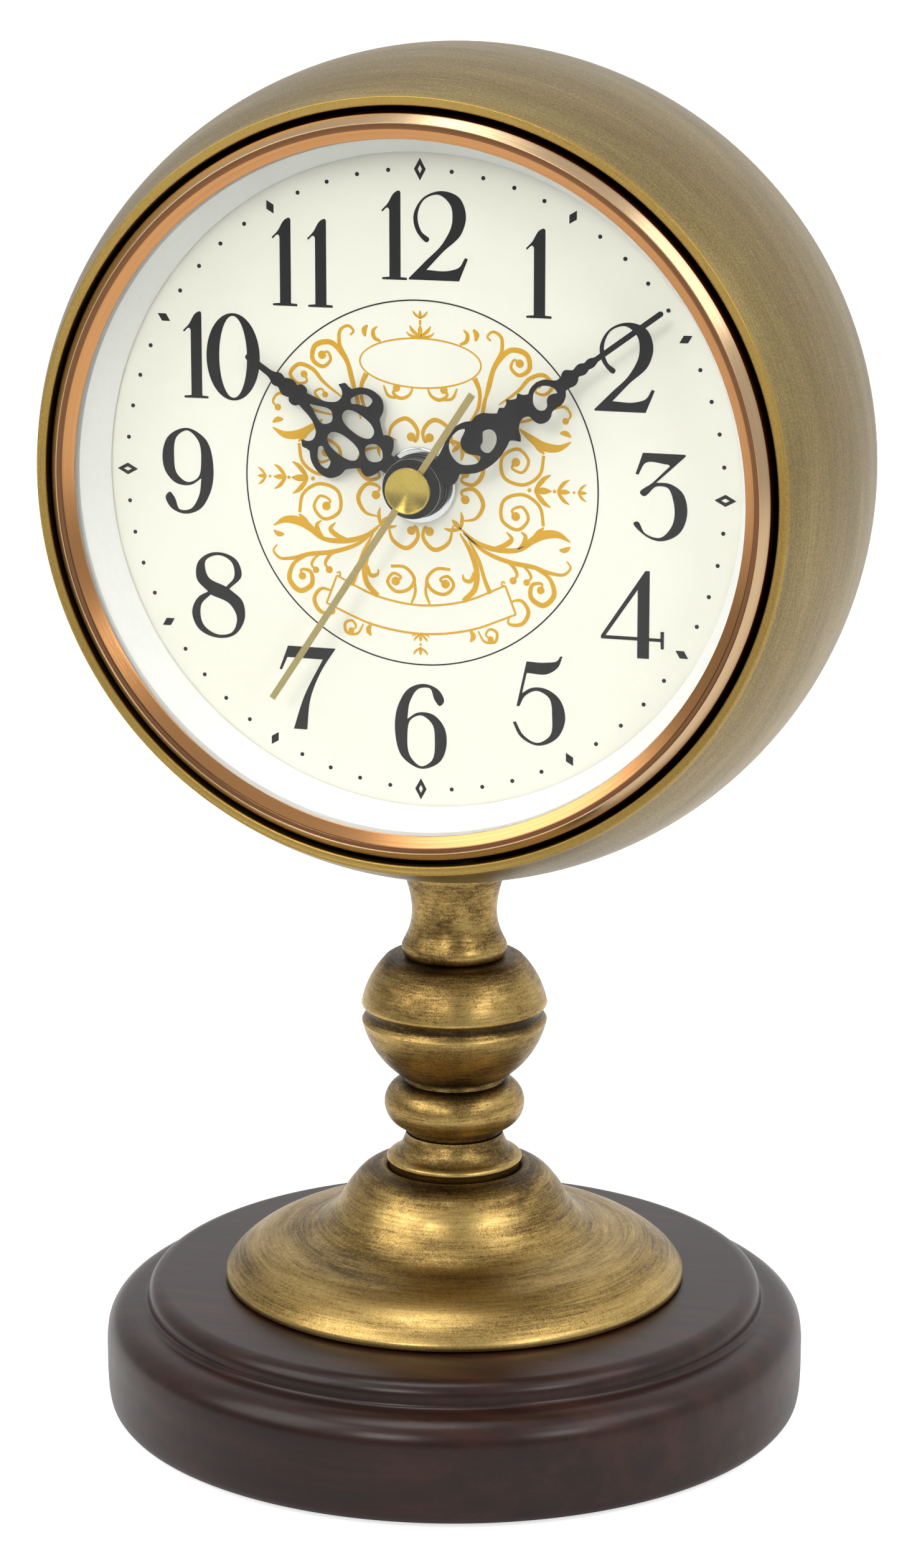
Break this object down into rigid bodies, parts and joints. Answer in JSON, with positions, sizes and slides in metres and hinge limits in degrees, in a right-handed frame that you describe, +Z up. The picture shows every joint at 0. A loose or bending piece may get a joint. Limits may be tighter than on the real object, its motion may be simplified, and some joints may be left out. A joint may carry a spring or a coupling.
{
  "type": "pedestal table clock",
  "caption": "Battery table clock with a ball-shaped bronze case on a turned stem and a round stepped wooden base.",
  "frame": {"origin": "centre of the base on the surface it stands on, under the stem", "axes": "+Z up along the stem, -Y out of the dial, +X to the right of someone reading the dial"},
  "size_m": [0.1698, 0.1472, 0.2849],
  "materials": {
    "antique_bronze": "antique bronze, brushed round the turned shapes, satin lacquer",
    "copper": "brushed rose-gold copper, bright bevels",
    "mahogany": "dark mahogany stain under satin lacquer",
    "rubber": "matt",
    "zinc_steel": "zinc plated",
    "clear_glass": "clear, polished",
    "ring_white": "white, satin",
    "dial_white": "ivory-white printed card",
    "black_plastic": "black, fine grain",
    "chrome": "polished",
    "natural_plastic": "natural acetal",
    "ferrite": "dark ferrite",
    "copper_wire": "enamelled copper wire",
    "black_paint": "matt black paint",
    "khaki_gold": "satin khaki gold",
    "polished_brass": "turned and polished brass",
    "board_green": "green solder mask",
    "speaker_paper": "black paper cone",
    "cell_sleeve": "printed sleeve, no marks"
  },
  "bodies": {
    "clock": {"ball_knop": "antique_bronze", "base_flange": "antique_bronze", "base_nut": "zinc_steel", "base_washer": "zinc_steel", "battery_box": "black_plastic", "battery_contact_left": "zinc_steel", "battery_contact_right": "zinc_steel", "bead_ring": "antique_bronze", "bezel": "copper", "button_switch": "black_plastic", "case_nut": "zinc_steel", "case_shell": "antique_bronze", "case_washer": "zinc_steel", "cell_1": "cell_sleeve", "cell_2": "cell_sleeve", "chassis": "black_plastic", "chime_board": "board_green", "dial": "dial_white", "drive_coil": "copper_wire", "hand_nut": "chrome", "inner_ring": "ring_white", "lens": "clear_glass", "lower_neck": "antique_bronze", "movement_board": "board_green", "movement_case": "black_plastic", "movement_front": "black_plastic", "rear_cover": "black_plastic", "rear_screw_1": "zinc_steel", "rear_screw_2": "zinc_steel", "rear_screw_3": "zinc_steel", "rear_screw_4": "zinc_steel", "rubber_foot_1": "rubber", "rubber_foot_2": "rubber", "rubber_foot_3": "rubber", "rubber_foot_4": "rubber", "speaker_cone": "speaker_paper", "speaker_frame": "zinc_steel", "speaker_magnet": "ferrite", "stator_plate": "zinc_steel", "tie_rod": "zinc_steel", "upper_neck": "antique_bronze", "wood_base": "mahogany"},
    "second_hand_body": {"second_wheel": "natural_plastic", "second_hand": "khaki_gold", "second_cap": "polished_brass"},
    "minute_hand_body": {"centre_wheel": "natural_plastic", "minute_hand": "black_paint"},
    "hour_hand_body": {"hour_wheel": "natural_plastic", "hour_hand": "black_paint"},
    "third_wheel_body": {"third_wheel": "natural_plastic"},
    "minute_wheel_body": {"minute_wheel": "natural_plastic"},
    "intermediate_body": {"intermediate_wheel": "natural_plastic"},
    "rotor_body": {"rotor": "ferrite"},
    "set_knob_body": {"set_knob": "black_plastic"},
    "volume_knob_body": {"volume_knob": "black_plastic"},
    "mode_switch_body": {"mode_switch": "black_plastic"},
    "button_body": {"monitor_button": "natural_plastic"},
    "battery_door_body": {"battery_door": "black_plastic"}
  },
  "joints": [
    {"name": "second_hand_turn", "type": "hinge", "parent": "clock", "child": "second_hand_body", "pos_m": [0, 0, 0.2], "axis": [0, 1, 0], "continuous": true},
    {"name": "minute_hand_turn", "type": "hinge", "parent": "clock", "child": "minute_hand_body", "pos_m": [0, 0, 0.2], "axis": [0, 1, 0], "continuous": true},
    {"name": "hour_hand_turn", "type": "hinge", "parent": "clock", "child": "hour_hand_body", "pos_m": [0, 0, 0.2], "axis": [0, 1, 0], "continuous": true},
    {"name": "third_wheel_turn", "type": "hinge", "parent": "clock", "child": "third_wheel_body", "pos_m": [-0.00987, 0, 0.19641], "axis": [0, 1, 0], "continuous": true},
    {"name": "minute_wheel_turn", "type": "hinge", "parent": "clock", "child": "minute_wheel_body", "pos_m": [0.01083, 0, 0.19809], "axis": [0, 1, 0], "continuous": true},
    {"name": "intermediate_turn", "type": "hinge", "parent": "clock", "child": "intermediate_body", "pos_m": [0, 0, 0.212], "axis": [0, 1, 0], "continuous": true},
    {"name": "rotor_turn", "type": "hinge", "parent": "clock", "child": "rotor_body", "pos_m": [0.00675, 0, 0.22004], "axis": [0, 1, 0], "continuous": true},
    {"name": "set_knob_turn", "type": "hinge", "parent": "clock", "child": "set_knob_body", "pos_m": [0.02167, 0, 0.19618], "axis": [0, 1, 0], "continuous": true},
    {"name": "volume_turn", "type": "hinge", "parent": "clock", "child": "volume_knob_body", "pos_m": [-0.038, 0, 0.208], "axis": [0, 1, 0], "range_deg": [-140, 140]},
    {"name": "mode_slide", "type": "slide", "parent": "clock", "child": "mode_switch_body", "axis": [1, 0, 0], "range_m": [-0.0025, 0.0025]},
    {"name": "monitor_press", "type": "slide", "parent": "clock", "child": "button_body", "axis": [0, -1, 0], "range_m": [0, 0.0012], "stiffness_N_per_m": 300, "springref_m": -0.0006},
    {"name": "battery_door_open", "type": "hinge", "parent": "clock", "child": "battery_door_body", "pos_m": [0, 0.0528, 0.1523], "axis": [-1, 0, 0], "range_deg": [0, 80]}
  ],
  "couplings": [
    {"joint": "minute_hand_turn", "follows": "second_hand_turn", "ratio": 0.016667},
    {"joint": "hour_hand_turn", "follows": "second_hand_turn", "ratio": 0.0013889},
    {"joint": "third_wheel_turn", "follows": "second_hand_turn", "ratio": -0.13333},
    {"joint": "minute_wheel_turn", "follows": "second_hand_turn", "ratio": -0.0055556},
    {"joint": "intermediate_turn", "follows": "second_hand_turn", "ratio": -5},
    {"joint": "rotor_turn", "follows": "second_hand_turn", "ratio": 30},
    {"joint": "set_knob_turn", "follows": "second_hand_turn", "ratio": 0.016667}
  ]
}
